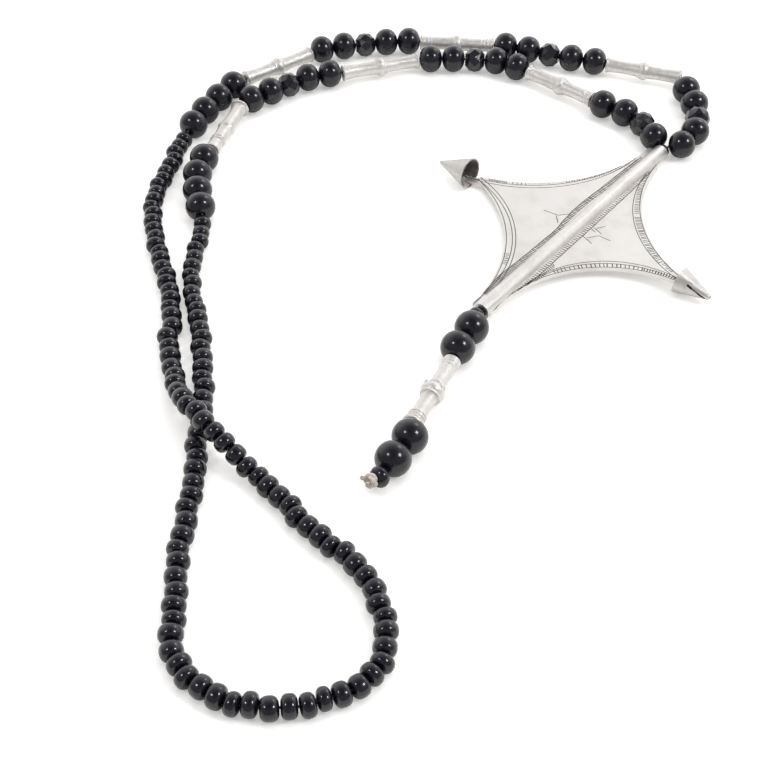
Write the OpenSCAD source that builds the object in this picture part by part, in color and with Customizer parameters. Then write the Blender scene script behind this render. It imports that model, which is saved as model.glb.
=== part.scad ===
// Black bead necklace with a four-pointed silver star pendant, laid out flat in its loop.
// All sizes in millimetres, +Z up, the surface it lies on at z = 0.

/* [Round black beads] */
// Diameter of the large round beads
round_d = 8; // [7.6:0.1:8.2]
// Hole through each round bead
round_bore = 1.8; // [1.6:0.1:2.2]

/* [Faceted black beads] */
// Width of the faceted beads across opposite corners
facet_d = 7.3; // [6.8:0.1:7.6]
// Number of corners around each faceted bead
facet_sides = 8; // [6:1:12]

/* [Small black beads] */
// Size factor on the diameter of all small beads
seed_scale = 1; // [0.94:0.01:1.02]
// Hole through each small bead
seed_bore = 1.6; // [1.4:0.1:1.8]

/* [Silver tube beads] */
// Diameter at the two ends of a tube bead
tube_end_d = 4.4; // [4:0.1:4.6]
// Diameter of the narrowest part between an end and the middle
tube_waist_d = 3.7; // [3.4:0.1:3.9]
// Diameter of the swelling in the middle
tube_knuckle_d = 5.3; // [4.8:0.1:5.5]
// Hole through each tube bead
tube_bore = 2.4; // [2:0.1:2.6]

/* [Star pendant] */
// Thickness of the star plate
plate_t = 1; // [0.8:0.1:1.2]
// Outer diameter of the tube across the star
spine_d = 4.4; // [4:0.1:4.6]
// Hole through that tube
spine_bore = 3; // [2.6:0.1:3.2]
// Wall of the two hollow cones
cone_wall = 0.6; // [0.5:0.05:0.8]
// Depth of the border lines cut into the plate
line_depth = 0.15; // [0.1:0.01:0.25]

/* [Thread and spacing] */
// Diameter of the thread
thread_d = 0.6; // [0.4:0.05:0.65]
// Free space between neighbouring large beads
bead_gap = 0.3; // [0.25:0.05:0.4]
// Free space between neighbouring small beads
seed_gap = 0.4; // [0.35:0.05:0.5]

/* [Hidden] */
fine = 64;
black = [0.06, 0.06, 0.07];
silver = [0.8, 0.79, 0.77];
thread_tan = [0.72, 0.62, 0.48];

// moves the whole layout so that its bounding box is centred on the origin
place = [0, 0.7, 0];

// thread length nominally taken by each kind of piece
round_step = 7.1;
facet_step = 6.3;
tube_step = 23;
seed_step = 3.6;

// how much small beads differ: share of their length and diameter, distance aside, turn
seed_length_spread = 0.12;
seed_width_spread = 0.03;
seed_aside = 0.3;
seed_turn = 4;

// points worked out between two route points
curve_steps = 10;

// Stretches of the loop in threading order, from the top mouth of the pendant, round and back to it.
// Kinds: r round, f faceted, t silver tube, s small bead.
// Columns: kinds, times repeated, small bead diameter or factor on the large round ones (0 as set),
// route points [x, y, lift of the underside]
loop = [
  ["r", 1, 0, [[64.95, 62.05, -0.5], [72.25, 61.55, 0.5]]],
  ["rfrr", 1, 0, [[71.6, 64.8, 0], [73.2, 68, 0], [75, 74.7, 0], [75.1, 81.7, 0], [73.9, 88.4, 0],
    [72.9, 92.2, 0]]],
  ["t", 1, 0, [[73.6, 95.6, 0.8], [52, 102.8, 0.8]]],
  ["rrfrr", 1, 0, [[52, 102.8, 0], [42.2, 105.3, 0], [29.3, 110, 0], [19, 113, 0]]],
  ["t", 1, 0, [[19, 113, 0.8], [-3.5, 115, 0.8]]],
  ["rrfrr", 1, 0, [[-3.5, 115, 0], [-14, 114.2, 0], [-27, 112, 0], [-36.5, 109, 0]]],
  ["t", 1, 0, [[-36.6, 108.4, 0.8], [-55.6, 94.9, 0.8]]],
  ["rrrr", 1, 0, [[-56.7, 94.3, 0], [-62.4, 84.8, 0], [-66.1, 77.6, 0], [-69.8, 67.9, 0]]],
  ["s", 13, 4.9, [[-70.2, 67.5, 0], [-72, 63, 0], [-72.9, 56, 0], [-74.6, 49, 0], [-75.9, 42, 0],
    [-76.2, 35.5, 0], [-75.1, 27.8, 0]]],
  ["s", 11, 4.9, [[-75.1, 27.8, 0], [-73.5, 20.5, 0], [-71, 12, 0], [-68.9, 5, 0], [-67.6, -1, 0],
    [-66.9, -5.2, 0]]],
  ["s", 14, 5.1, [[-66.9, -5.2, 0], [-66.3, -11, 0], [-66.6, -16.5, 0], [-65, -23, 0],
    [-64.2, -27.3, 0.4], [-62.8, -32, 1.5], [-61.8, -36.3, 2.8], [-59.7, -40, 4.1],
    [-57.4, -43.6, 5.1], [-54.6, -47.4, 5.4], [-50.9, -51.3, 4.5]]],
  ["s", 13, 5.2, [[-50.9, -51.3, 4.5], [-47.8, -54.7, 2.9], [-44.7, -57, 1.3], [-41, -60.8, 0.1],
    [-36.2, -65.8, 0], [-31.8, -72, 0], [-25.8, -78, 0], [-22, -81.2, 0], [-19.2, -84.7, 0]]],
  ["s", 12, 5.2, [[-19.2, -84.7, 0], [-17.2, -88.3, 0], [-15.5, -92.8, 0], [-14.2, -98, 0],
    [-14.2, -104, 0], [-16.6, -110, 0], [-21.3, -113.6, 0], [-26.5, -115.8, 0], [-30.8, -117, 0]]],
  ["s", 12, 5.3, [[-30.8, -117, 0], [-38.5, -117.3, 0], [-46, -115.4, 0], [-51.8, -111.3, 0],
    [-55.9, -106, 0], [-57, -99.5, 0], [-56.8, -92, 0]]],
  ["s", 14, 5.1, [[-56.8, -92, 0], [-57.4, -86, 0], [-57.7, -80, 0], [-57, -73, 0], [-56.7, -66, 0],
    [-56.1, -59, 0], [-56.5, -51.5, 0], [-56.6, -45.5, 0], [-56.2, -40.5, 0]]],
  ["s", 11, 5, [[-56.2, -40.5, 0], [-56.4, -34.5, 0], [-57.3, -26.5, 0], [-58.3, -18.5, 0],
    [-59.5, -10.5, 0], [-61.4, -3.4, 0]]],
  ["s", 10, 4.6, [[-61.4, -3.4, 0], [-62.8, 4, 0], [-63.5, 12, 0], [-62.9, 19.5, 0], [-62.3, 25, 0],
    [-62.2, 30.6, 0]]],
  ["rrrr", 1, 0, [[-62.4, 30.6, 0], [-64.6, 41, 0], [-65.2, 50, 0], [-63.2, 59, 0]]],
  ["t", 1, 0, [[-62.6, 59.4, 0.8], [-55.9, 80.6, 0.8]]],
  ["rrfrr", 1, 0, [[-55.6, 81.9, 0], [-48.2, 87.5, 0], [-37.8, 94.7, 0], [-27.3, 97.9, 0]]],
  ["t", 1, 0, [[-27, 98, 0.8], [-4.2, 105, 0.8]]],
  ["rrfrr", 1, 0, [[-3.9, 104.9, 0], [6.2, 105.1, 0], [13.6, 104.9, 0], [20, 103.6, 0],
    [28, 98.9, 0]]],
  ["t", 1, 0, [[28.4, 98.6, 0.8], [46.2, 84.2, 0.8]]],
  ["rrfr", 1, 0, [[46.3, 84, 0], [48.8, 81.2, 0], [54.1, 77.4, 0], [58.8, 72, 0], [61.1, 65.9, 0],
    [62.6, 62.5, -1.2]]],
];

// the tail below the pendant, from its bottom mouth down to the knot
tail = [
  ["r", 1, 1.06, [[8.68, -9.49, 0], [4.75, -16.4, 0]]],
  ["r", 1, 1.06, [[4.5, -16.3, 0], [1.7, -23.5, 0]]],
  ["t", 1, 0, [[1.75, -23.75, 0.8], [-8.2, -44.4, 0.8]]],
  ["rr", 1, 1.06, [[-6.76, -45.25, 0], [-14.4, -58.65, 0]]],
];

// Silver tube beads in the order they are met.
// Columns: distances of cut rings from each end, extra diameters of the lips of both ends,
// knuckle factor, ring collars on the body as distances from the first end (negative: from the
// second), bosses around the knuckle
tube_style = [
  [[], [0, 0], 1, [], 0],
  [[1.6, 2.6, 3.6], [0, 0], 1, [], 0],
  [[], [0, 0], 1, [], 0],
  [[], [0, 0.6], 0.9, [4.4, 5.4], 0],
  [[], [0, 0], 1, [], 0],
  [[1.3, 2.2], [0, 0], 1, [], 0],
  [[1.75, 2.65], [-0.5, 0.4], 1.15, [9.1, -1.3, -2.2, -3.1], 4],
];

// pendant: foot of the star on its tube, turn of the tube in plan, lean of the plate
star_at = [35.26, 26.26, 2.6];
star_turn = 50.9;
star_lean = 2;
spine_top = 43.5;
spine_bottom = 40.9;
plate_top = 0.3;

// hollow cut arcs of the star edge, columns: centre x, centre y, radius
star_arcs = [
  [42.5, 43.5, 39.9],
  [40.45, -45.55, 42.4],
  [-41.35, 49.75, 46.3],
  [-34.15, -34.1, 31.7],
];

// border lines drawn by hand beside the four arcs, columns: centre x, centre y, radius
border_lines = [
  [37.34, 40.05, 36.16],
  [39.17, 41.77, 37.5],
  [37.25, -41.99, 40.11],
  [41.54, -46.42, 44.29],
  [-36.42, 43.35, 41.27],
  [-35.9, 42.45, 39.35],
  [-41.35, 49.75, 46.9],
  [-28.23, -30.03, 27.17],
  [-29.81, -30.88, 28.05],
  [-34.15, -34.1, 32],
];
line_w = 0.2;

// cones on the two free points, columns: base centre, base radius, length, droop in degrees,
// radius of the tip
far_cone = [[0.3, 34.1, 2.9], 4.3, 10.4, 3, 0.55];
near_cone = [[-0.9, -32.2, -0.1], 3.5, 9.2, 9, 0.95];

// open seam of the near cone: middle, size, turns about X and Y
seam_at = [-1.44, 0.68, 5.6];
seam_size = [2.4, 0.45, 5.7];
seam_turn = [20, 11, 0];

// small end beads, columns: diameter, length
top_mouth_bead = [3.6, 1.6];
bottom_mouth_bead = [4.4, 3.3];
tail_end_bead = [5, 3];
tail_end_at = [-15.45, -60.3, 3.9];
tail_turn = unit([-0.7, -0.66, 0.28]);
knot_distance = 3.2;
knot_at = tail_end_at + tail_turn * knot_distance;

// sideways distance of each of the two strands from the line they share, and how far inside
// the pendant's mouths that line still runs straight
strand_offset = 0.36;
mouth_inset = 2;

// gaps from which the thread runs from hole to hole, and how far it first runs straight on out of
// a hole where the next bead lies apart or far apart
wide_gap = 0.9;
apart_gap = 1.5;
apart_reach = 0.25;
far_gap = 3;
far_reach = 0.8;
mouth_reach = 0.9;
tail_reach = 0.5;

function blend(a, b, c, d, t) =
  0.5 * ((2 * b) + (c - a) * t + (2 * a - 5 * b + 4 * c - d) * t * t
    + (3 * b - a - 3 * c + d) * t * t * t);

function route_point(p, i) =
  i < 0 ? 2 * p[0] - p[1]
  : i >= len(p) ? 2 * p[len(p) - 1] - p[len(p) - 2]
  : p[i];

function curve(p) = concat(
  [for (i = [0 : len(p) - 2]) for (k = [0 : curve_steps - 1])
    blend(route_point(p, i - 1), p[i], p[i + 1], route_point(p, i + 2), k / curve_steps)],
  [p[len(p) - 1]]);

function reach(c) = [for (i = 0, s = 0; i < len(c);
  s = s + (i + 1 < len(c) ? norm(c[i + 1] - c[i]) : 0), i = i + 1) s];

function track(c, s) = [for (axis = [0 : 2]) [for (i = [0 : len(c) - 1]) [s[i], c[i][axis]]]];

function at(tr, q) = [lookup(q, tr[0]), lookup(q, tr[1]), lookup(q, tr[2])];

function unit(v) = v / norm(v);

function total(v, upto) = [for (i = 0, s = 0; i <= upto; s = s + (i < upto ? v[i] : 0), i = i + 1) s][upto];

function kinds(st) = [for (n = [1 : st[1]]) for (k = [0 : len(st[0]) - 1]) st[0][k]];

function step_of(kind, i) =
  kind == "r" ? round_step
  : kind == "f" ? facet_step
  : kind == "t" ? tube_step
  : seed_step * (1 + seed_length_spread * sin(97 * i));

function width_of(kind, own, i) =
  kind == "r" ? round_d * (own > 0 ? own : 1)
  : kind == "f" ? facet_d
  : kind == "t" ? tube_knuckle_d
  : own * seed_scale * (1 + seed_width_spread * sin(211 * i));

function length_of(kind, share, d) =
  kind == "r" ? min(share - bead_gap, d - 0.2)
  : kind == "s" ? share - seed_gap
  : share - bead_gap;

// small beads sit a little out of line (millimetres) and turned (degrees), as on a slack thread
function side_step(kind, i) = kind == "s" ? seed_aside * sin(137.5 * i) : 0;
function turn_step(kind, i) = kind == "s" ? seed_turn * sin(100 * i) : 0;

// one piece: kind, centre, direction, diameter, length
function piece(kind, i, tr, from, share, own) =
  let (mid = from + share / 2,
    here = at(tr, mid),
    dir = unit(at(tr, mid + 0.5) - at(tr, mid - 0.5)),
    side = unit([-dir[1], dir[0], 0]),
    d = width_of(kind, own, i),
    turn = turn_step(kind, i))
  [kind,
    [here[0], here[1], max(here[2], 0) + d / 2] + side * side_step(kind, i),
    unit(dir * cos(turn) + side * sin(turn)),
    d,
    length_of(kind, share, d)];

function lay(st) =
  let (c = curve(st[3]), s = reach(c), tr = track(c, s), ks = kinds(st),
    w = [for (i = [0 : len(ks) - 1]) step_of(ks[i], i)],
    k = s[len(s) - 1] / total(w, len(w)))
  [for (i = [0 : len(ks) - 1]) piece(ks[i], i, tr, k * total(w, i), k * w[i], st[2])];

loop_pieces = [for (st = loop) for (p = lay(st)) p];
tail_pieces = [for (st = tail) for (p = lay(st)) p];
all_pieces = concat(loop_pieces, tail_pieces);

function of_kind(kind) = [for (p = all_pieces) if (p[0] == kind) p];
rounds = of_kind("r");
facets = of_kind("f");
tubes = of_kind("t");
seeds = of_kind("s");
seeds_in_a = 51;

// pendant axes and mouths in the common frame
star_axis = [cos(star_turn), sin(star_turn), 0];
top_mouth = star_at + star_axis * spine_top;
bottom_mouth = star_at - star_axis * spine_bottom;
top_bead_at = top_mouth + star_axis * (bead_gap + top_mouth_bead[1] / 2);
bottom_bead_at = bottom_mouth - star_axis * (bead_gap + bottom_mouth_bead[1] / 2);

function start_of(p) = p[1] - p[2] * p[4] / 2;

function end_of(p) = p[1] + p[2] * p[4] / 2;

// the thread crosses a gap at its middle, or from hole to hole where the beads are turned apart
function crossing(a, b) = let (apart = norm(start_of(b) - end_of(a)))
  apart > far_gap ? [end_of(a) + a[2] * far_reach, start_of(b) - b[2] * apart_reach]
  : apart > apart_gap ? [end_of(a) + a[2] * apart_reach, start_of(b) - b[2] * apart_reach]
  : apart > wide_gap ? [end_of(a), start_of(b)]
  : [(end_of(a) + start_of(b)) / 2];

function crossings(ps) = [for (i = [0 : len(ps) - 2]) each crossing(ps[i], ps[i + 1])];

function side_of(a, b) = let (d = unit(b - a)) unit([-d[1], d[0], 0]);

// the line both strands follow, from the knot up through the tail and the pendant
lead_down = concat(
  [start_of(tail_pieces[0]) - tail_pieces[0][2] * tail_reach],
  crossings(tail_pieces),
  [end_of(tail_pieces[len(tail_pieces) - 1]),
    tail_end_at - tail_turn * (tail_end_bead[1] / 2 + apart_reach),
    tail_end_at + tail_turn * (tail_end_bead[1] / 2 + apart_reach)]);
lead = concat(
  [for (i = [len(lead_down) - 1 : -1 : 0]) lead_down[i]],
  [bottom_bead_at - star_axis * (bottom_mouth_bead[1] / 2 + tail_reach),
    bottom_mouth + star_axis * mouth_inset, top_mouth - star_axis * mouth_inset,
    top_bead_at + star_axis * (top_mouth_bead[1] / 2 + mouth_reach)]);

function strand(points, offset) = [for (i = [0 : len(points) - 1])
  points[i] + offset * side_of(points[max(i - 1, 0)], points[min(i + 1, len(points) - 1)])];

thread_line = concat(
  strand(lead, -strand_offset),
  [start_of(loop_pieces[0])],
  crossings(loop_pieces),
  [end_of(loop_pieces[len(loop_pieces) - 1])],
  [for (i = [len(lead) - 1 : -1 : 0]) strand(lead, strand_offset)[i]]);

module thread() {
  n = len(thread_line);
  sides = 8;
  r = thread_d / 2;
  rings = [for (i = [0 : n - 1])
    let (d = unit(thread_line[min(i + 1, n - 1)] - thread_line[max(i - 1, 0)]),
      side = unit(cross(d, [0, 0, 1])),
      up = cross(side, d))
    for (k = [0 : sides - 1])
      thread_line[i] + r * (cos(360 * k / sides) * side + sin(360 * k / sides) * up)];
  walls = [for (i = [0 : n - 2]) for (k = [0 : sides - 1])
    let (a = i * sides + k, b = i * sides + (k + 1) % sides)
    each [[a, b, b + sides], [a, b + sides, a + sides]]];
  color(thread_tan)
    polyhedron(rings, concat([[for (k = [0 : sides - 1]) sides - 1 - k]], walls,
      [[for (k = [0 : sides - 1]) (n - 1) * sides + k]]));
}

module aim(centre, dir) {
  translate(centre)
    rotate([0, acos(dir[2]), atan2(dir[1], dir[0])])
      children();
}

// round-shouldered ring shape shared by round and small beads
module ring_bead(d, l, bore) {
  rotate_extrude($fn = fine)
    intersection() {
      union() {
        translate([d / 2 - l / 2, 0])
          circle(d = l, $fn = fine);
        translate([0, -l / 2])
          square([d / 2 - l / 2, l]);
      }
      translate([bore / 2, -l])
        square([d, 2 * l]);
    }
}

module round_bead(p) {
  color(black)
    aim(p[1], p[2])
      ring_bead(p[3], p[4], round_bore);
}

module faceted_bead(p) {
  half = p[4] / 2;
  bands = [[-1, 0.5], [-0.55, 0.88], [0, 1], [0.55, 0.88], [1, 0.5]];
  last = len(bands) - 1;
  corners = [for (b = [0 : last]) for (k = [0 : facet_sides - 1])
    let (a = 360 * (k + (b % 2) / 2) / facet_sides)
    [bands[b][1] * p[3] / 2 * cos(a), bands[b][1] * p[3] / 2 * sin(a), bands[b][0] * half]];
  sides = [for (b = [0 : last - 1]) for (k = [0 : facet_sides - 1])
    let (n = (k + 1) % facet_sides, low = b * facet_sides, high = low + facet_sides)
    each (b % 2 == 0
      ? [[low + k, high + k, low + n], [high + k, high + n, low + n]]
      : [[low + k, high + k, high + n], [low + k, high + n, low + n]])];
  color(black)
    aim(p[1], p[2])
      difference() {
        polyhedron(corners, concat([[for (k = [0 : facet_sides - 1]) k]], sides,
          [[for (k = [0 : facet_sides - 1]) last * facet_sides + facet_sides - 1 - k]]));
        cylinder(d = round_bore, h = 2 * p[4], center = true, $fn = fine);
      }
}

module seed_string(first, last) {
  color(black)
    for (i = [first : last])
      aim(seeds[i][1], seeds[i][2])
        ring_bead(seeds[i][3], seeds[i][4], seed_bore);
}

module small_bead(centre, dir, size) {
  color(black)
    aim(centre, dir)
      ring_bead(size[0], size[1], seed_bore + 0.4);
}

// radius of the hollowed body of a tube bead at a distance from its end
function waist_at(l, from_end, hollow_r) =
  tube_waist_d / 2 + pow(l / 4 - from_end, 2) / (2 * hollow_r);

// half profile of a silver tube bead: ends, hollowed waists, swelling, lips, collars and cut rings
module tube_profile(l, style) {
  end_r = tube_end_d / 2;
  waist_r = tube_waist_d / 2;
  span = l / 4;
  dip = end_r - waist_r;
  hollow_r = (span * span + dip * dip) / (2 * dip);
  knuckle_r = 1.6;
  swell = tube_knuckle_d / 2 * style[2];
  ledge = [0.45, 1.1, 0.6];
  lip_r = 0.35;
  lip_inset = 0.15;
  collar_r = 0.42;
  collar_inset = 0.12;
  ring_r = 0.3;
  ring_depth = 0.14;
  difference() {
    union() {
      difference() {
        translate([0, -l / 2])
          square([end_r, l]);
        for (side = [-1, 1])
          translate([waist_r + hollow_r, side * span])
            circle(r = hollow_r, $fn = 8 * fine);
      }
      translate([swell - knuckle_r, 0])
        circle(r = knuckle_r, $fn = fine);
      translate([0, ledge[1]])
        square([swell - ledge[0], ledge[2]]);
      for (end = [0, 1])
        translate([end_r - lip_inset + style[1][end] / 2, (2 * end - 1) * (l / 2 - lip_r)])
          circle(r = lip_r, $fn = fine);
      for (c = style[3])
        let (q = c > 0 ? c : l + c)
        translate([waist_at(l, min(q, l - q), hollow_r) - collar_inset, q - l / 2])
          circle(r = collar_r, $fn = fine);
    }
    translate([-2, -l])
      square([2 + tube_bore / 2, 2 * l]);
    for (ring = style[0], side = [-1, 1])
      translate([waist_at(l, ring, hollow_r) + ring_r - ring_depth, side * (l / 2 - ring)])
        circle(r = ring_r, $fn = fine);
  }
}

module silver_tube(p, style) {
  bosses = style[4];
  boss_r = 0.6;
  boss_out = tube_knuckle_d / 2 * style[2] - 0.35;
  boss_along = -0.9;
  color(silver)
    aim(p[1], p[2])
      union() {
        rotate_extrude($fn = fine)
          tube_profile(p[4], style);
        if (bosses > 0)
          for (k = [0 : bosses - 1])
            rotate([0, 0, 45 + 360 * k / bosses])
              translate([boss_out, 0, boss_along])
                sphere(r = boss_r, $fn = fine);
      }
}

module star_outline() {
  difference() {
    polygon([[-40.4, -2.4], [-40.4, 3.1], [0.6, 31], [0.9, 33], [3.6, 33], [4.6, 31], [43, 3.5],
      [43, -1.6], [38, -2.1], [36, -3.3], [0.9, -31], [0.7, -33], [-2.8, -33], [-2.8, -31],
      [-34.1, -2.4]]);
    for (a = star_arcs)
      translate([a[0], a[1]])
        circle(r = a[2], $fn = fine);
  }
}

// narrow arms that run on into the cones and are soldered inside them
module arm_outline() {
  polygon([[0.75, 30.4], [0.4, 33.4], [0.3, 35.7], [2, 35.7], [2.4, 33.9], [4.3, 30.4]]);
  polygon([[0.8, -30.6], [0.5, -35.9], [-2.4, -35.9], [-2.7, -30.6]]);
}

module border_cuts() {
  for (line = border_lines)
    translate([line[0], line[1], plate_top - line_depth])
      difference() {
        cylinder(r = line[2] + line_w / 2, h = 1, $fn = fine);
        translate([0, 0, -1])
          cylinder(r = line[2] - line_w / 2, h = 3, $fn = fine);
      }
}

module star_plate() {
  difference() {
    translate([0, 0, plate_top - plate_t])
      linear_extrude(plate_t)
        union() {
          star_outline();
          arm_outline();
        }
    border_cuts();
  }
}

// hollow cone along +Z with its open base at z = 0
module hollow_cone(r, l, tip_r) {
  difference() {
    union() {
      cylinder(r1 = r, r2 = tip_r, h = l - tip_r, $fn = fine);
      translate([0, 0, l - tip_r])
        sphere(r = tip_r, $fn = fine);
    }
    translate([0, 0, -0.01])
      cylinder(r1 = r - cone_wall, r2 = 0.2, h = l - 1.8, $fn = fine);
  }
}

module cones() {
  translate(far_cone[0])
    rotate([-90 - far_cone[3], 0, 0])
      hollow_cone(far_cone[1], far_cone[2], far_cone[4]);
  translate(near_cone[0])
    rotate([90 + near_cone[3], 0, 0])
      difference() {
        hollow_cone(near_cone[1], near_cone[2], near_cone[4]);
        // open seam left where the rolled sheet meets
        translate(seam_at)
          rotate(seam_turn)
            cube(seam_size, center = true);
      }
}

module pendant() {
  color(silver)
    translate(star_at)
      rotate([0, 0, star_turn])
        rotate([-star_lean, 0, 0])
          difference() {
            union() {
              star_plate();
              cones();
              translate([-spine_bottom, 0, 0])
                rotate([0, 90, 0])
                  cylinder(d = spine_d, h = spine_bottom + spine_top, $fn = fine);
            }
            translate([-spine_bottom - 1, 0, 0])
              rotate([0, 90, 0])
                cylinder(d = spine_bore, h = spine_bottom + spine_top + 2, $fn = fine);
          }
}

module thread_knot() {
  wrap_r = 1.15;
  wrap_wire = 0.65;
  wrap_step = 0.4;
  wrap_turn = 14;
  core_r = 1.2;
  end_r = 0.3;
  ends = [[58, 2.9], [-20, 2.4]];
  color(thread_tan)
    aim(knot_at, tail_turn)
      union() {
        for (k = [-1, 0, 1])
          rotate([k * wrap_turn, 0, 0])
            translate([0, 0, k * wrap_step])
              rotate_extrude($fn = fine)
                translate([wrap_r, 0])
                  circle(r = wrap_wire, $fn = fine);
        sphere(r = core_r, $fn = fine);
        for (e = ends)
          rotate([e[0], 0, 0])
            cylinder(r = end_r, h = e[1], $fn = fine);
      }
}

translate(place) {
  pendant();
  small_bead(top_bead_at, star_axis, top_mouth_bead);  // mouth_bead_top
  small_bead(bottom_bead_at, star_axis, bottom_mouth_bead);  // mouth_bead_bottom
  small_bead(tail_end_at, tail_turn, tail_end_bead);
  thread();
  thread_knot();
  seed_string(0, seeds_in_a - 1);  // seed_string_a
  seed_string(seeds_in_a, len(seeds) - 1);  // seed_string_b
  for (n = [0 : len(tubes) - 1])
    silver_tube(tubes[n], tube_style[n]);
  for (n = [0 : len(facets) - 1])
    faceted_bead(facets[n]);
  for (n = [0 : len(rounds) - 1])
    round_bead(rounds[n]);
}
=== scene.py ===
"""A black bead necklace with a silver star pendant, laid on a white table."""

import math
import random

import bmesh
import bpy
import numpy as np
from mathutils import Matrix, Vector


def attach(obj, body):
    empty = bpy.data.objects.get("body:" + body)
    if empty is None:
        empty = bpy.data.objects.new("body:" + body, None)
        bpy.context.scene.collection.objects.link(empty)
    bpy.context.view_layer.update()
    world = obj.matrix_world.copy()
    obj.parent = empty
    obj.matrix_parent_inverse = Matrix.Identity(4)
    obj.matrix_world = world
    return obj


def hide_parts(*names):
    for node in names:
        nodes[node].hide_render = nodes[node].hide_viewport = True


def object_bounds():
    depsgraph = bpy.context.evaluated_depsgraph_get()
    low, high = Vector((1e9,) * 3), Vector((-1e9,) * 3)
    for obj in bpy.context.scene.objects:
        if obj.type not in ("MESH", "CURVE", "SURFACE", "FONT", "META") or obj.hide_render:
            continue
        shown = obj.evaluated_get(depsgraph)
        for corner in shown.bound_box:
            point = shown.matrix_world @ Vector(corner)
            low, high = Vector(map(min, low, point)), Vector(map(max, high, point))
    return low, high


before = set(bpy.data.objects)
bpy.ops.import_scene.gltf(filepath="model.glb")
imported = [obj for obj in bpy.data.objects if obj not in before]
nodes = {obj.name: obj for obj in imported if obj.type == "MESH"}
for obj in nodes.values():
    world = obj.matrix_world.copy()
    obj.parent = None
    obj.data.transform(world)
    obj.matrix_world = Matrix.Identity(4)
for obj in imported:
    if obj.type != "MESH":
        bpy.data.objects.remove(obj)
cad_low, cad_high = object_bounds()

MM = 0.001
rng = random.Random(11)

# The layout is centred on the origin by this shift, as in the solids.
PLACE = Vector((0, 0.7, 0)) * MM

# Camera, from the photograph's perspective
CAMERA_AT = Vector((-14.5, -262.8, 239.65)) * MM
CAMERA_TILT = math.radians(44.5)
CAMERA_LENS = 66.56
CAMERA_SENSOR = 36.0
CAMERA_CLIP = (0.01, 20)

# Half width of the floor, metres
FLOOR_REACH = 3.0

# Pendant frame: foot of the star on its tube, turn in plan, lean of the plate
STAR_AT = Vector((35.26, 26.26, 2.6)) * MM + PLACE
STAR_TURN = math.radians(50.9)
STAR_LEAN = math.radians(-2)
PLATE_TOP = 0.3 * MM
star_to_world = (Matrix.Translation(STAR_AT) @ Matrix.Rotation(STAR_TURN, 4, "Z")
                 @ Matrix.Rotation(STAR_LEAN, 4, "X"))

# Hollow edges of the star in its own frame, millimetres: centre x, centre y, radius
EDGE_TOP = (42.5, 43.5, 39.9)
EDGE_RIGHT = (40.45, -45.55, 42.4)
EDGE_LEFT = (-41.35, 49.75, 46.3)
EDGE_BOTTOM = (-34.15, -34.1, 31.7)


def socket(node, name, value):
    """Sets one input of a shader node."""
    node.inputs[name].default_value = value


def new_material(name):
    """An empty node material: returns it, its nodes, its links and its shader."""
    mat = bpy.data.materials.new(name)
    mat.use_nodes = True
    tree = mat.node_tree
    tree.nodes.clear()
    out = tree.nodes.new("ShaderNodeOutputMaterial")
    shader = tree.nodes.new("ShaderNodeBsdfPrincipled")
    tree.links.new(shader.outputs[0], out.inputs["Surface"])
    return mat, tree.nodes, tree.links, shader


def noise(tree_nodes, tree_links, coords, scale, detail=3.0, roughness=0.5):
    """A noise texture on the given coordinates; its factor output is returned."""
    tex = tree_nodes.new("ShaderNodeTexNoise")
    socket(tex, "Scale", scale)
    socket(tex, "Detail", detail)
    socket(tex, "Roughness", roughness)
    tree_links.new(coords, tex.inputs["Vector"])
    return tex.outputs["Fac"]


def ramp(tree_nodes, tree_links, factor, stops):
    """A colour ramp with (position, colour) stops."""
    node = tree_nodes.new("ShaderNodeValToRGB")
    elements = node.color_ramp.elements
    while len(elements) > 1:
        elements.remove(elements[-1])
    for i, (position, colour) in enumerate(stops):
        stop = elements[0] if i == 0 else elements.new(position)
        stop.position = position
        stop.color = (*colour, 1)
    tree_links.new(factor, node.inputs["Fac"])
    return node.outputs["Color"]


def spread(tree_nodes, tree_links, factor, low, high, from_low=0.3, from_high=0.7):
    """Maps a factor to a range of values."""
    node = tree_nodes.new("ShaderNodeMapRange")
    socket(node, "From Min", from_low)
    socket(node, "From Max", from_high)
    socket(node, "To Min", low)
    socket(node, "To Max", high)
    tree_links.new(factor, node.inputs["Value"])
    return node.outputs["Result"]


def bump(tree_nodes, tree_links, height, strength, distance, normal=None):
    """A bump node; its normal output is returned."""
    node = tree_nodes.new("ShaderNodeBump")
    socket(node, "Strength", strength)
    socket(node, "Distance", distance)
    tree_links.new(height, node.inputs["Height"])
    if normal is not None:
        tree_links.new(normal, node.inputs["Normal"])
    return node.outputs["Normal"]


def black_glass(name="black_glass", rough=(0.22, 0.4), coat=0.8, shine=0.26, dusty=0.8):
    """Black glass with a soft body, a thin polished skin, faint waves, dust and fine wear."""
    mat, n, link, shader = new_material(name)
    coords = n.new("ShaderNodeTexCoord").outputs["Object"]
    waves = noise(n, link, coords, scale=420, detail=2)
    wear = noise(n, link, coords, scale=1500, detail=5, roughness=0.6)
    socket(shader, "IOR", 1.5)
    dust = noise(n, link, coords, scale=900, detail=6, roughness=0.7)
    colour = ramp(n, link, dust, [(0.4, (0.004, 0.004, 0.009)), (0.6, (0.007, 0.007, 0.014)),
                                  (dusty, (0.035, 0.034, 0.044))])
    socket(shader, "Specular IOR Level", shine)
    socket(shader, "Coat Weight", coat)
    link.new(spread(n, link, wear, low=0.06, high=0.13), shader.inputs["Coat Roughness"])
    link.new(colour, shader.inputs["Base Color"])
    link.new(spread(n, link, wear, *rough), shader.inputs["Roughness"])
    link.new(bump(n, link, waves, strength=0.25, distance=0.00012), shader.inputs["Normal"])
    return mat


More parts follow.
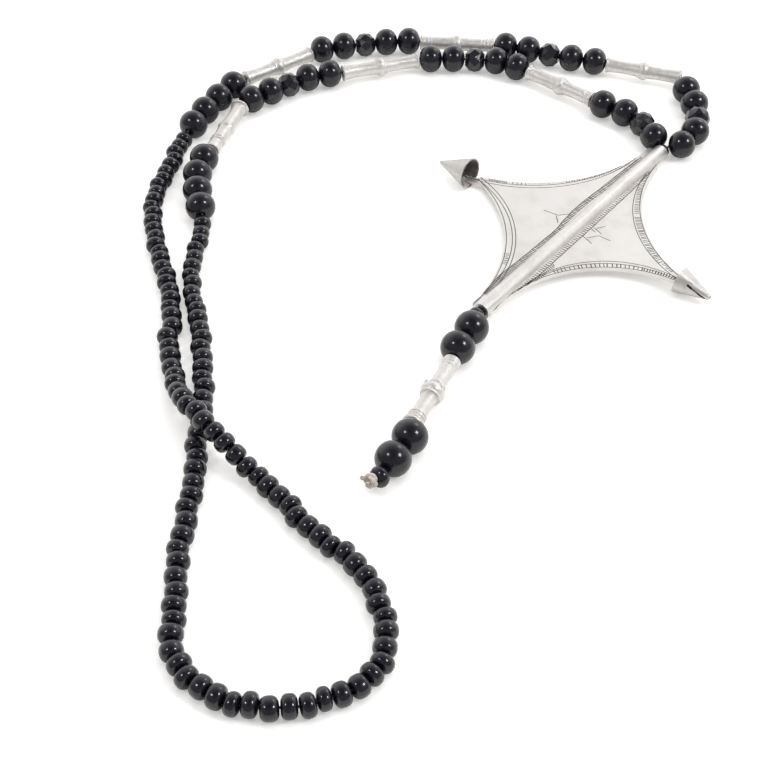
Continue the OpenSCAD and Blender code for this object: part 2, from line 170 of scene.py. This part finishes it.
def silver(name, tone=1.0, rough=(0.44, 0.58), hammered=0.12, grain=0.12, metal=0.92, worn=0.0):
    """Worn satin silver: hammered, scratched, slightly warm, with thin tarnish."""
    mat, n, link, shader = new_material(name)
    coords = n.new("ShaderNodeTexCoord").outputs["Object"]
    broad = noise(n, link, coords, scale=130, detail=4, roughness=0.6)
    fine = noise(n, link, coords, scale=1400, detail=6, roughness=0.65)
    brushed = n.new("ShaderNodeMapping")
    socket(brushed, "Rotation", (0, 0, -STAR_TURN))
    socket(brushed, "Scale", (1, 9, 9))
    link.new(coords, brushed.inputs["Vector"])
    strokes = noise(n, link, brushed.outputs["Vector"], scale=900, detail=4, roughness=0.6)
    socket(shader, "Metallic", metal)
    colour = ramp(n, link, broad, [(0.25, (0.83 * tone, 0.79 * tone, 0.765 * tone)),
                                   (0.5, (0.925 * tone, 0.9 * tone, 0.88 * tone)),
                                   (0.8, (0.955 * tone, 0.94 * tone, 0.925 * tone))])
    pits = noise(n, link, coords, scale=800, detail=5, roughness=0.7)
    shade = spread(n, link, pits, low=1 - worn, high=1.0, from_low=0.34, from_high=0.56)
    mottled = n.new("ShaderNodeVectorMath")
    mottled.operation = "SCALE"
    link.new(colour, mottled.inputs[0])
    link.new(shade, mottled.inputs["Scale"])
    link.new(mottled.outputs[0], shader.inputs["Base Color"])
    link.new(spread(n, link, fine, *rough), shader.inputs["Roughness"])
    dents = noise(n, link, coords, scale=420, detail=3, roughness=0.55)
    first = bump(n, link, dents, strength=hammered, distance=0.0004)
    second = bump(n, link, strokes, strength=0.10, distance=0.00006, normal=first)
    third = bump(n, link, fine, strength=grain, distance=0.00008, normal=second)
    link.new(third, shader.inputs["Normal"])
    return mat


def shaded_inside():
    """Near-black silver inside the hollow cones: painted shade in their hollows."""
    mat, n, link, shader = new_material("silver_inside_painted_shade")
    coords = n.new("ShaderNodeTexCoord").outputs["Object"]
    patches = noise(n, link, coords, scale=380, detail=5, roughness=0.65)
    colour = ramp(n, link, patches, [(0.3, (0.05, 0.045, 0.04)), (0.65, (0.2, 0.185, 0.17)),
                                     (0.8, (0.4, 0.38, 0.36))])
    link.new(colour, shader.inputs["Base Color"])
    socket(shader, "Metallic", 0.6)
    link.new(spread(n, link, patches, low=0.5, high=0.7), shader.inputs["Roughness"])
    link.new(bump(n, link, patches, strength=0.4, distance=0.0002), shader.inputs["Normal"])
    return mat


def tarnish():
    """Dark grey tarnish in the bottom of the engraved lines."""
    mat, n, link, shader = new_material("silver_tarnish")
    coords = n.new("ShaderNodeTexCoord").outputs["Object"]
    patches = noise(n, link, coords, scale=700, detail=4, roughness=0.6)
    colour = ramp(n, link, patches, [(0.3, (0.04, 0.037, 0.034)), (0.7, (0.14, 0.13, 0.125))])
    link.new(colour, shader.inputs["Base Color"])
    socket(shader, "Metallic", 0.7)
    link.new(spread(n, link, patches, low=0.45, high=0.65), shader.inputs["Roughness"])
    return mat


def fibre(name, dark, light):
    """Thread with fine twisted fibres."""
    mat, n, link, shader = new_material(name)
    coords = n.new("ShaderNodeTexCoord").outputs["Object"]
    strands = noise(n, link, coords, scale=4500, detail=3)
    colour = ramp(n, link, strands, [(0.3, dark), (0.7, light)])
    link.new(colour, shader.inputs["Base Color"])
    socket(shader, "Roughness", 0.9)
    socket(shader, "Sheen Weight", 0.25)
    link.new(bump(n, link, strands, strength=0.5, distance=0.0001), shader.inputs["Normal"])
    return mat


# Brightness that the camera sees the floor add, as in the photo's exposure
FLOOR_GLOW = 0.37


def table_top():
    """The plain white floor, with hardly visible unevenness, exposed a little bright."""
    mat, n, link, shader = new_material("table_white")
    coords = n.new("ShaderNodeTexCoord").outputs["Object"]
    clouds = noise(n, link, coords, scale=6, detail=2)
    colour = ramp(n, link, clouds, [(0.3, (0.82, 0.81, 0.79)), (0.7, (0.84, 0.83, 0.81))])
    link.new(colour, shader.inputs["Base Color"])
    socket(shader, "Roughness", 0.8)
    socket(shader, "Specular IOR Level", 0.2)
    socket(shader, "Emission Color", (1.0, 1.0, 0.995, 1))
    seen = n.new("ShaderNodeLightPath").outputs["Is Camera Ray"]
    glow = n.new("ShaderNodeMath")
    glow.operation = "MULTIPLY"
    link.new(seen, glow.inputs[0])
    glow.inputs[1].default_value = FLOOR_GLOW
    link.new(glow.outputs[0], shader.inputs["Emission Strength"])
    return mat


GLASS = black_glass()
SMALL_GLASS = black_glass("black_small_beads", (0.2, 0.36), 1.0, 0.2, 0.74)
FACETS = black_glass("black_facets", (0.14, 0.22), 0.8, 0.5)
SILVER = silver("silver")
TUBE_SILVER = silver("silver_tubes", 0.98, (0.44, 0.6), 0.45, 0.4, 0.9, 0.12)
SPINE_SILVER = silver("silver_spine", 0.98, (0.34, 0.46), 0.15, 0.15, 0.95, 0.1)
# The cones' silver is a darker copy of the plate's silver: painted shade on the cones' outer faces.
CONE_SILVER = silver("silver_cones_painted_shade", 0.84, (0.42, 0.56), 0.25, 0.2, 0.92, 0.12)
TARNISH = tarnish()
# Painted shade for the inner walls of the hollow cones.
INSIDE = shaded_inside()

# The star's materials, and the places in them of all but the plate's
STAR_MATERIALS = (SILVER, TARNISH, INSIDE, SPINE_SILVER, CONE_SILVER)
ON_CUT, ON_INSIDE, ON_SPINE, ON_CONE = 1, 2, 3, 4

# The thread between the beads is a dark brown copy of the knot's tan thread: painted shade.
THREAD = fibre("thread_painted_shade", (0.05, 0.04, 0.03), (0.14, 0.115, 0.085))
KNOT_THREAD = fibre("thread_knot", (0.36, 0.31, 0.26), (0.78, 0.72, 0.65))


def mesh_object(name, bm, materials, angle=35):
    """A shown object from a bmesh, shaded smooth with sharp edges above an angle."""
    mesh = bpy.data.meshes.new(name)
    bm.to_mesh(mesh)
    bm.free()
    for mat in materials:
        mesh.materials.append(mat)
    mesh.shade_smooth()
    mesh.set_sharp_from_angle(angle=math.radians(angle))
    obj = bpy.data.objects.new(name, mesh)
    bpy.context.scene.collection.objects.link(obj)
    return obj


def lathe(bm, profile, place, sides):
    """Turns a closed profile of (radius, height) points about local Z and places it."""
    count = len(profile)
    rings = []
    for k in range(sides):
        turn = 2 * math.pi * k / sides
        rings.append([bm.verts.new(place @ Vector((r * math.cos(turn), r * math.sin(turn), z)))
                      for r, z in profile])
    for k in range(sides):
        a = rings[k]
        b = rings[(k + 1) % sides]
        for i in range(count):
            j = (i + 1) % count
            bm.faces.new((a[j], b[j], b[i], a[i]))


def loose_parts(obj):
    """The node's loose solids, each as an array of points in the frame."""
    mesh = obj.data
    co = np.empty(len(mesh.vertices) * 3)
    mesh.vertices.foreach_get("co", co)
    co = co.reshape(-1, 3)
    _, same = np.unique(np.round(co, 7), axis=0, return_inverse=True)
    same = same.ravel()
    edges = np.empty(len(mesh.edges) * 2, dtype=np.int64)
    mesh.edges.foreach_get("vertices", edges)
    pairs = same[edges.reshape(-1, 2)]
    label = np.arange(same.max() + 1)
    while True:
        low = np.minimum(label[pairs[:, 0]], label[pairs[:, 1]])
        new = label.copy()
        np.minimum.at(new, pairs[:, 0], low)
        np.minimum.at(new, pairs[:, 1], low)
        new = new[new]
        if (new == label).all():
            break
        label = new
    own = label[same]
    return [co[own == k] for k in np.unique(own)]


# How much farther than its nearest point a bead's point may be and still lie on the hole's rim
RIM_SLACK = 1.03


def ring_of(points):
    """Centre, axis, half length, outer radius and bore radius of one drilled bead.

    A bead is the same on both sides of its centre, and its points nearest to the centre are the
    rims of its hole, so the line through the two rims is its axis."""
    centre = (points.max(0) + points.min(0)) / 2
    away = points - centre
    distance = np.linalg.norm(away, axis=1)
    rims = away[distance < RIM_SLACK * distance.min()]
    axis = np.linalg.svd(rims, full_matrices=False)[2][0]
    along = away @ axis
    across = np.linalg.norm(away - np.outer(along, axis), axis=1)
    return Vector(centre), Vector(axis), along.max(), across.max(), across.min()


def aimed(centre, axis):
    """Matrix that puts local Z on an axis at a centre."""
    turn = Vector((0, 0, 1)).rotation_difference(axis).to_matrix().to_4x4()
    return Matrix.Translation(centre) @ turn


# A bead's side: fullness (2 is an ellipse), and where its curve starts as a share of the radius
SMALL_SIDE = (2.5, 0.3)
ROUND_SIDE = (2.04, 0.12)

# How far a bead reaches into the gap of its solid on each side
SNUG = 0.1 * MM

# Corners around a bead and steps down its side
SMALL_CORNERS, SMALL_STEPS = 36, 14
ROUND_CORNERS, ROUND_STEPS = 48, 24

# Largest share by which a small bead is smaller than its solid
SMALL_WOBBLE = 0.012

# Share of its half length at which a leaning bead's lowest point lies
LOW_POINT = 0.4


def bead_profile(half, outer, bore, side, steps):
    """Closed half section of a drilled bead with full rounded sides."""
    fullness, start = side
    core = start * outer
    power = 2 / fullness
    points = []
    for i in range(steps + 1):
        turn = math.pi * i / steps
        up = math.cos(turn)
        points.append((core + (outer - core) * math.sin(turn) ** power,
                       math.copysign(abs(up) ** power, up) * half))
    return [(max(r, bore), z) for r, z in points]


def clear_of_floor(points, centre, axis, half, outer):
    """The bead's radius, so that its side stays no lower than the solid's."""
    upright = math.sqrt(1 - axis.z ** 2)
    lowest = centre.z - outer * upright - LOW_POINT * half * abs(axis.z)
    return outer - max(0.0, points[:, 2].min() - lowest)


def seed_string(name):
    """Smooth small beads in the places of a string node's solids, each slightly its own."""
    bm = bmesh.new()
    for points in loose_parts(nodes[name]):
        centre, axis, half, outer, bore = ring_of(points)
        wobble = 1 - SMALL_WOBBLE * rng.random()
        outer = clear_of_floor(points, centre, axis, half, outer * wobble)
        profile = bead_profile(half * wobble + SNUG, outer, bore, SMALL_SIDE, SMALL_STEPS)
        lathe(bm, profile, aimed(centre, axis), SMALL_CORNERS)
    obj = mesh_object(name + "_beads", bm, [SMALL_GLASS])
    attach(obj, "root")
    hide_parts(name)


def round_bead(name):
    """One large smooth bead in the place of its solid."""
    bm = bmesh.new()
    points = loose_parts(nodes[name])[0]
    centre, axis, half, outer, bore = ring_of(points)
    outer = clear_of_floor(points, centre, axis, half, outer)
    profile = bead_profile(half + SNUG, outer, bore, ROUND_SIDE, ROUND_STEPS)
    lathe(bm, profile, aimed(centre, axis), ROUND_CORNERS)
    obj = mesh_object(name + "_smooth", bm, [GLASS])
    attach(obj, "root")
    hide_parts(name)


for string in ("seed_string_a", "seed_string_b"):
    seed_string(string)
for round_name in [name for name in nodes if name.startswith("round_bead")]:
    round_bead(round_name)


def welded(obj, name):
    """A copy of a node's mesh with its split corners joined again."""
    bm = bmesh.new()
    bm.from_mesh(obj.data)
    bmesh.ops.remove_doubles(bm, verts=bm.verts, dist=1e-7)
    mesh = bpy.data.meshes.new(name)
    bm.to_mesh(mesh)
    bm.free()
    copy = bpy.data.objects.new(name, mesh)
    bpy.context.scene.collection.objects.link(copy)
    return copy


# Millimetres: depth of a cut, how far its cutter stands above the plate, depth of a scratch, and
# depth of the border lines in the solid
GROOVE_DEPTH = 0.13
GROOVE_TOP = 0.03
SCRATCH_DEPTH = 0.08
FLOOR_DEPTH = 0.15

# Widths of the cuts, millimetres
LINE_WIDTHS = (0.2, 0.22)
SLANT_WIDTH = 0.26
SCRATCH_WIDTH = 0.2

# Circles of the border lines in the solid, millimetres: centre x, centre y, radius
BORDER_LINES = (
    (37.34, 40.05, 36.16), (39.17, 41.77, 37.5), (37.25, -41.99, 40.11), (41.54, -46.42, 44.29),
    (-36.42, 43.35, 41.27), (-35.9, 42.45, 39.35), (-41.35, 49.75, 46.9),
    (-28.23, -30.03, 27.17), (-29.81, -30.88, 28.05), (-34.15, -34.1, 32.0))

# Widths of the bands beside the tube that carry ticks, millimetres: along, inner and outer edge
FAR_BAND = (
    (-33, 2.3, 3.7), (-27, 2.5, 4.4), (-19, 2.4, 3.9), (-11, 2.3, 3.7), (-3, 2.35, 3.5), (0, 2.6, 4.0),
    (6, 3.0, 4.55), (12, 2.9, 4.5), (18, 2.5, 4.1), (27, 2.4, 3.7), (37, 2.3, 3.2))
NEAR_BAND = ((-33, 2.3, 2.9), (-24, 2.3, 3.6), (0, 2.3, 3.55), (23.5, 2.3, 3.3), (37, 2.3, 2.5))

# Ticks beside the tube: side, band, first and last place, step and width, millimetres
TUBE_TICKS = ((1, FAR_BAND, -35, 38, 0.62, 0.34), (-1, NEAR_BAND, -31, 36, 0.85, 0.26))

# Ticks along the hollow edges: edge, inner and outer offset in millimetres, first and last angle
# in degrees, step and width in millimetres, slant in degrees, unevenness as a share of a step
ARC_TICKS = (
    (EDGE_BOTTOM, 0.25, 1.65, 20, 60, 1.05, 0.24, 0.0, 0.3),
    (EDGE_BOTTOM, 0.3, 1.55, 5, 19, 0.7, 0.26, 0.0, 0.3),
    (EDGE_RIGHT, 0.75, 1.95, 97, 124.8, 0.72, 0.24, 0.0, 0.3),
    (EDGE_RIGHT, 0.7, 2.15, 127, 152, 0.68, 0.24, 0.0, 0.5),
    (EDGE_RIGHT, 0.4, 1.5, 153.5, 158, 0.6, 0.24, 0.0, 0.3),
    (EDGE_TOP, 0.3, 1.1, -131, -103, 0.7, 0.2, 0.0, 0.3),
    (EDGE_TOP, 0.25, 1.15, -161, -154.5, 0.45, 0.2, 0.3, 0.3),
    (EDGE_TOP, 0.3, 1.2, -152, -147, 1.0, 0.2, 0.0, 0.3),
    (EDGE_TOP, 0.45, 0.75, -146, -138, 0.8, 0.2, 0.0, 0.3),
    (EDGE_LEFT, 0.75, 1.75, -67, -62, 0.6, 0.2, 0.0, 0.3))

# Slanting cuts: first place, step and inner end, millimetres, and their number
SLANT_START, SLANT_STEP, SLANT_INNER, SLANT_COUNT = -15.5, 0.62, -3.8, 14

# Hollow cones of the star: base centre, base radius, length, pitch of the axis about X, tip radius
CONES = (((0.3, 34.1, 2.9), 4.3, 10.4, -93, 0.55), ((-0.9, -32.2, -0.1), 3.5, 9.2, 99, 0.95))

# Fine scratches on the plate, millimetres
SCRATCHES = (
    ((1.73, 10.72), (2.18, 6.46)), ((1.72, 6.71), (-0.49, 4.71)), ((2.26, 6.35), (4.32, 4.56)),
    ((2.65, -3.72), (1.98, -5.28)), ((3.41, -4.03), (2.38, -7.05)), ((3.63, -4.67), (5.64, -6.06)),
    ((-1.2, -3.58), (-2.53, -7.11)), ((-1.29, -4.91), (1.34, -6.8), (1.38, -10.36)))


def groove(bm, points, width, depth=GROOVE_DEPTH):
    """A V-shaped cutter along points on the plate, given in its own frame, millimetres."""
    low = PLATE_TOP / MM - depth
    high = PLATE_TOP / MM + GROOVE_TOP
    wide = width / 2 * (depth + GROOVE_TOP) / depth
    path = [Vector((*point, 0)) for point in points]
    rows = []
    for i, here in enumerate(path):
        ahead = path[min(i + 1, len(path) - 1)] - path[max(i - 1, 0)]
        side = Vector((-ahead.y, ahead.x, 0)).normalized() * wide
        corners = (here + Vector((0, 0, low)), here + side + Vector((0, 0, high)),
                   here - side + Vector((0, 0, high)))
        rows.append([bm.verts.new(star_to_world @ (corner * MM)) for corner in corners])
    for first, second in zip(rows, rows[1:]):
        for i in range(3):
            j = (i + 1) % 3
            bm.faces.new((first[j], first[i], second[i], second[j]))
    bm.faces.new(rows[0])
    bm.faces.new(rows[-1][::-1])


def on_arc(edge, offset, degrees):
    """A point at an offset inside a hollow edge, at an angle about its centre."""
    turn = math.radians(degrees)
    radius = edge[2] + offset
    return (edge[0] + radius * math.cos(turn), edge[1] + radius * math.sin(turn))


def between(table, x, column):
    """A column of a table read at x, straight between its rows."""
    return float(np.interp(x, [row[0] for row in table], [row[column] for row in table]))


def ladder_on_arc(bm, edge, low, high, start, end, step, width, slant, uneven):
    """Radial ticks between two offsets along a hollow edge."""
    count = int(abs(math.radians(end - start)) * edge[2] / step)
    for k in range(count + 1):
        degrees = start + (end - start) * (k + uneven * (rng.random() - 0.5)) / count
        skew = slant + 0.15 * (rng.random() - 0.5)
        trim = rng.uniform(-0.06, 0.06)
        ends = (on_arc(edge, low + trim, degrees - skew), on_arc(edge, high + trim, degrees + skew))
        groove(bm, ends, width * rng.uniform(0.8, 1.2))


def ladder_by_tube(bm, side, band, start, end, step, width, slant=0.05):
    """Ticks beside the tube, across a band of changing width."""
    count = int((end - start) / step)
    for k in range(count + 1):
        x = start + step * (k + 0.2 * (rng.random() - 0.5))
        skew = slant + 0.06 * (rng.random() - 0.5)
        outer = between(band, x, 2) + rng.uniform(-0.08, 0.08)
        groove(bm, ((x - skew, side * between(band, x, 1)), (x + skew, side * outer)),
               width * rng.uniform(0.8, 1.2))


def edge_of_band(bm, side, band, start, end, column, width):
    """The line that bounds a band of ticks."""
    xs = np.arange(start, end, 1.5)
    groove(bm, [(x, side * between(band, x, column) + 0.04 * math.sin(1.3 * x)) for x in xs], width)


def ticks():
    """All the short cuts across the borders."""
    bm = bmesh.new()
    for row in TUBE_TICKS:
        ladder_by_tube(bm, *row)
    for row in ARC_TICKS:
        ladder_on_arc(bm, *row)
    return bm


def herringbone():
    """Slanting cuts outside the near band, towards the tube's lower end."""
    bm = bmesh.new()
    for k in range(SLANT_COUNT):
        x = SLANT_START - SLANT_STEP * k
        reach = 0.9 + 0.25 * math.sin(k)
        groove(bm, ((x, SLANT_INNER), (x - 0.35, SLANT_INNER - reach)), SLANT_WIDTH)
    return bm


def long_lines():
    """The outer line of each band beside the tube."""
    bm = bmesh.new()
    edge_of_band(bm, 1, FAR_BAND, -34, 37.5, 2, LINE_WIDTHS[0])
    edge_of_band(bm, -1, NEAR_BAND, -30, 36, 2, LINE_WIDTHS[1])
    return bm


def scratches():
    """The fine scratches on the plate."""
    bm = bmesh.new()
    for points in SCRATCHES:
        groove(bm, points, SCRATCH_WIDTH, SCRATCH_DEPTH)
    return bm


def carve(star, bm, name):
    """Cuts one set of grooves out of the star."""
    bmesh.ops.recalc_face_normals(bm, faces=bm.faces)
    mesh = bpy.data.meshes.new(name)
    bm.to_mesh(mesh)
    bm.free()
    for mat in STAR_MATERIALS:
        mesh.materials.append(mat)
    for polygon in mesh.polygons:
        polygon.material_index = ON_CUT
    cutter = bpy.data.objects.new(name, mesh)
    bpy.context.scene.collection.objects.link(cutter)
    cut = star.modifiers.new("cut", "BOOLEAN")
    cut.object = cutter
    cut.operation = "DIFFERENCE"
    cut.solver = "MANIFOLD"
    bpy.context.view_layer.update()
    graph = bpy.context.evaluated_depsgraph_get()
    result = bpy.data.meshes.new_from_object(star.evaluated_get(graph))
    star.modifiers.clear()
    if len(result.polygons) > len(star.data.polygons):
        star.data = result
    bpy.data.objects.remove(cutter)


def darken_border_lines(star):
    """Gives the floors and walls of the solid's border lines the tarnish."""
    back = star_to_world.inverted()
    floor = PLATE_TOP / MM - FLOOR_DEPTH
    for polygon in star.data.polygons:
        point = (back @ polygon.center) / MM
        if not floor - 0.01 < point.z < floor + FLOOR_DEPTH - 0.02:
            continue
        for x, y, radius in BORDER_LINES:
            if abs(math.hypot(point.x - x, point.y - y) - radius) < 0.14:
                polygon.material_index = ON_CUT
                break


def under_cone(point, cone):
    """How deep a point of the star's frame lies under a cone's outer face, or None beyond its ends."""
    base, radius, length, pitch, tip = cone
    axis = Vector((0, -math.sin(math.radians(pitch)), math.cos(math.radians(pitch))))
    away = point - Vector(base)
    along = away.dot(axis)
    if not -0.1 < along < length + 0.1:
        return None
    outer = radius + (tip - radius) * along / (length - tip)
    return max(outer, 0.2) - (away - axis * along).length


def on_spine(point):
    """Whether a point of the star's frame lies on the outside of its tube."""
    return 1.8 < math.hypot(point.y, point.z) < 2.9 and point.z > PLATE_TOP / MM + 0.1


# How near a cone's outer face a point counts as on it, and half the height that counts as plate
CONE_SKIN = 0.25
PLATE_HALF = 0.55


def dress_star(star):
    """Gives the tube, the cones and the cones' inner walls their own materials; the cones' darker silver
    and the inner walls' near-black are painted shade.
    """
    back = star_to_world.inverted()
    for polygon in star.data.polygons:
        point = (back @ polygon.center) / MM
        on_arm = abs(point.z - PLATE_TOP / MM + 0.5) < PLATE_HALF
        depths = [depth for depth in (under_cone(point, cone) for cone in CONES) if depth is not None]
        if depths and abs(depths[0]) < CONE_SKIN:
            polygon.material_index = ON_CONE
        elif depths and depths[0] > CONE_SKIN and not on_arm:
            polygon.material_index = ON_INSIDE
        elif on_spine(point):
            polygon.material_index = ON_SPINE


def engraved_pendant():
    """The pendant's solid with its ornament engraved, its cuts darkened."""
    star = welded(nodes["pendant"], "pendant_engraved")
    for mat in STAR_MATERIALS:
        star.data.materials.append(mat)
    darken_border_lines(star)
    dress_star(star)
    for name, cuts in (("ticks", ticks), ("herringbone", herringbone), ("long_lines", long_lines),
                       ("scratches", scratches)):
        carve(star, cuts(), name)
    mesh = star.data
    mesh.shade_smooth()
    mesh.set_sharp_from_angle(angle=math.radians(14))
    even = star.modifiers.new("even", "WEIGHTED_NORMAL")
    even.keep_sharp = True
    even.weight = 90
    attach(star, "root")
    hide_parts("pendant")


engraved_pendant()


TAIL_TURN = Vector((-0.7, -0.66, 0.28)).normalized()
KNOT_AT = (Vector((-15.45, -60.3, 3.9)) + TAIL_TURN * 2.75) * MM + PLACE
# Frayed ends of the knot: turn from the tail's line in degrees, length in millimetres, fibres
FRAYED_ENDS = ((62, 2.7, 26), (-20, 2.2, 9))


def tube_along(bm, points, radii, sides):
    """A closed round tube through points, with a radius at each."""
    rings = []
    for i, here in enumerate(points):
        ahead = (points[min(i + 1, len(points) - 1)] - points[max(i - 1, 0)]).normalized()
        across = ahead.orthogonal().normalized() if i == 0 else across
        across = (across - ahead * across.dot(ahead)).normalized()
        upward = ahead.cross(across)
        rings.append([bm.verts.new(here + radii[i] * (math.cos(turn) * across + math.sin(turn) * upward))
                      for turn in (2 * math.pi * k / sides for k in range(sides))])
    for first, second in zip(rings, rings[1:]):
        for k in range(sides):
            j = (k + 1) % sides
            bm.faces.new((first[k], first[j], second[j], second[k]))
    bm.faces.new(rings[0][::-1])
    bm.faces.new(rings[-1])


# Wound thread, millimetres: radius, its sway and its rise; waves in a turn; points along it
WIND_R, WIND_SWAY, WIND_RISE, WIND_WAVES, WIND_STEPS = 1.08, 0.25, 0.6, 3.1, 120

# Places along a fibre, its thickness at each as a share, and the range of that thickness
FIBRE_AT = (0.1, 0.4, 0.65, 0.85, 1)
FIBRE_TAPER = (2.2, 2.0, 1.3, 0.8, 0.25)
FIBRE_THICK = (0.09, 0.15)


def knot_turn(share):
    """A point of the knot's wound thread, millimetres, its own Z along the tail."""
    turn = 2 * math.pi * share
    out = WIND_R + WIND_SWAY * math.cos(WIND_WAVES * turn)
    rise = WIND_RISE * math.sin(WIND_WAVES * turn)
    return Vector((out * math.cos(2 * turn), out * math.sin(2 * turn), rise))


def frayed_knot():
    """The tail's knot: wound thread with two ends that fray into fibres."""
    bm = bmesh.new()
    yaw = math.atan2(TAIL_TURN.y, TAIL_TURN.x)
    place = (Matrix.Translation(KNOT_AT) @ Matrix.Rotation(yaw, 4, "Z")
             @ Matrix.Rotation(math.acos(TAIL_TURN.z), 4, "Y"))
    wound = [place @ (knot_turn(2 * k / WIND_STEPS) * MM) for k in range(WIND_STEPS + 1)]
    tube_along(bm, wound, [(0.46 + 0.04 * math.sin(1.7 * k)) * MM for k in range(WIND_STEPS + 1)], 10)
    for turn, reach, fibres in FRAYED_ENDS:
        line = Vector((0, -math.sin(math.radians(turn)), math.cos(math.radians(turn))))
        for k in range(fibres):
            lean = (line + Vector((rng.uniform(-0.2, 0.2), rng.uniform(-0.2, 0.2), 0))).normalized()
            bend = Vector((rng.uniform(-0.25, 0.25), rng.uniform(-0.25, 0.25), 0))
            length = reach * rng.uniform(0.65, 1)
            path = [place @ ((lean * length * t + bend * t * t) * MM) for t in FIBRE_AT]
            thick = rng.uniform(*FIBRE_THICK) * MM
            tube_along(bm, path, [thick * f for f in FIBRE_TAPER], 6)
    knot = mesh_object("frayed_knot", bm, [KNOT_THREAD], 60)
    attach(knot, "root")
    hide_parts("thread_knot")


frayed_knot()


# Worn edges of the faceted beads: width, and the least angle in degrees between facets
WORN_WIDTH = 0.06 * MM
WORN_ANGLE = 12


def dress_nodes():
    """Gives each node that is shown as it is its material, and the faceted beads worn edges."""
    for name, obj in nodes.items():
        if name.startswith(("mouth_bead", "tail_end")):
            mat = GLASS
        elif name.startswith("faceted_bead"):
            mat = FACETS
            worn = obj.modifiers.new("worn_edges", "BEVEL")
            worn.width = WORN_WIDTH
            worn.segments = 2
            worn.limit_method = "ANGLE"
            worn.angle_limit = math.radians(WORN_ANGLE)
        elif name.startswith("silver_tube"):
            mat = TUBE_SILVER
        elif name.startswith("thread"):
            mat = THREAD
        else:
            continue
        obj.data.materials.clear()
        obj.data.materials.append(mat)


dress_nodes()


def make_floor():
    """A wide pale floor under the necklace."""
    bm = bmesh.new()
    corners = [(x * FLOOR_REACH, y * FLOOR_REACH) for x, y in ((-1, -1), (1, -1), (1, 1), (-1, 1))]
    bm.faces.new([bm.verts.new((x, y, cad_low.z)) for x, y in corners])
    floor = mesh_object("floor", bm, [table_top()])


make_floor()


def make_camera():
    """The camera of the photograph."""
    data = bpy.data.cameras.new("camera")
    data.lens = CAMERA_LENS
    data.sensor_width = CAMERA_SENSOR
    data.clip_start, data.clip_end = CAMERA_CLIP
    camera = bpy.data.objects.new("camera", data)
    camera.location = CAMERA_AT
    camera.rotation_euler = (CAMERA_TILT, 0, 0)
    bpy.context.scene.collection.objects.link(camera)
    bpy.context.scene.camera = camera


make_camera()


# Softboxes: name, direction, distance and size in metres, power in watts
SOFTBOXES = (
    ("softbox_left", (-0.545, -0.276, 0.808), 1.6, 0.30, 3.8),
    ("softbox_right", (0.626, -0.228, 0.748), 1.6, 0.38, 8),
    ("softbox_back", (0.49, 0.65, 0.58), 1.6, 0.45, 1.6))
FILL = ("fill", (0.1, 0.15, 1), 2.4, 2.4, 34)


def softbox(name, direction, distance, size, power):
    """A square area light that looks at the middle of the necklace."""
    data = bpy.data.lights.new(name, "AREA")
    data.shape = "SQUARE"
    data.size = size
    data.energy = power
    light = bpy.data.objects.new(name, data)
    aim = Vector(direction).normalized()
    light.location = aim * distance
    light.rotation_euler = aim.to_track_quat("Z", "Y").to_euler()
    bpy.context.scene.collection.objects.link(light)
    return light


def light_room():
    """Softboxes, an overhead fill without a reflection, and a room brighter on its far side."""
    for row in SOFTBOXES:
        softbox(*row)
    fill = softbox(*FILL)
    fill.visible_glossy = False
    world = bpy.data.worlds.new("room")
    world.use_nodes = True
    n = world.node_tree.nodes
    link = world.node_tree.links
    back = n["Background"]
    coords = n.new("ShaderNodeTexCoord").outputs["Generated"]
    parts = n.new("ShaderNodeSeparateXYZ")
    link.new(coords, parts.inputs["Vector"])
    overhead = spread(n, link, parts.outputs["Z"], low=1.0, high=0.25, from_low=0.5, from_high=0.97)
    far_side = spread(n, link, parts.outputs["Y"], low=0.3, high=1.12, from_low=-0.15, from_high=0.5)
    both = n.new("ShaderNodeMath")
    both.operation = "MULTIPLY"
    link.new(overhead, both.inputs[0])
    link.new(far_side, both.inputs[1])
    seen = n.new("ShaderNodeLightPath").outputs["Is Camera Ray"]
    shown = n.new("ShaderNodeMath")
    shown.operation = "MAXIMUM"
    link.new(seen, shown.inputs[0])
    link.new(both.outputs[0], shown.inputs[1])
    link.new(shown.outputs[0], back.inputs["Strength"])
    socket(back, "Color", (1.0, 0.995, 0.985, 1))
    bpy.context.scene.world = world


light_room()
bpy.context.scene.view_settings.view_transform = "Standard"
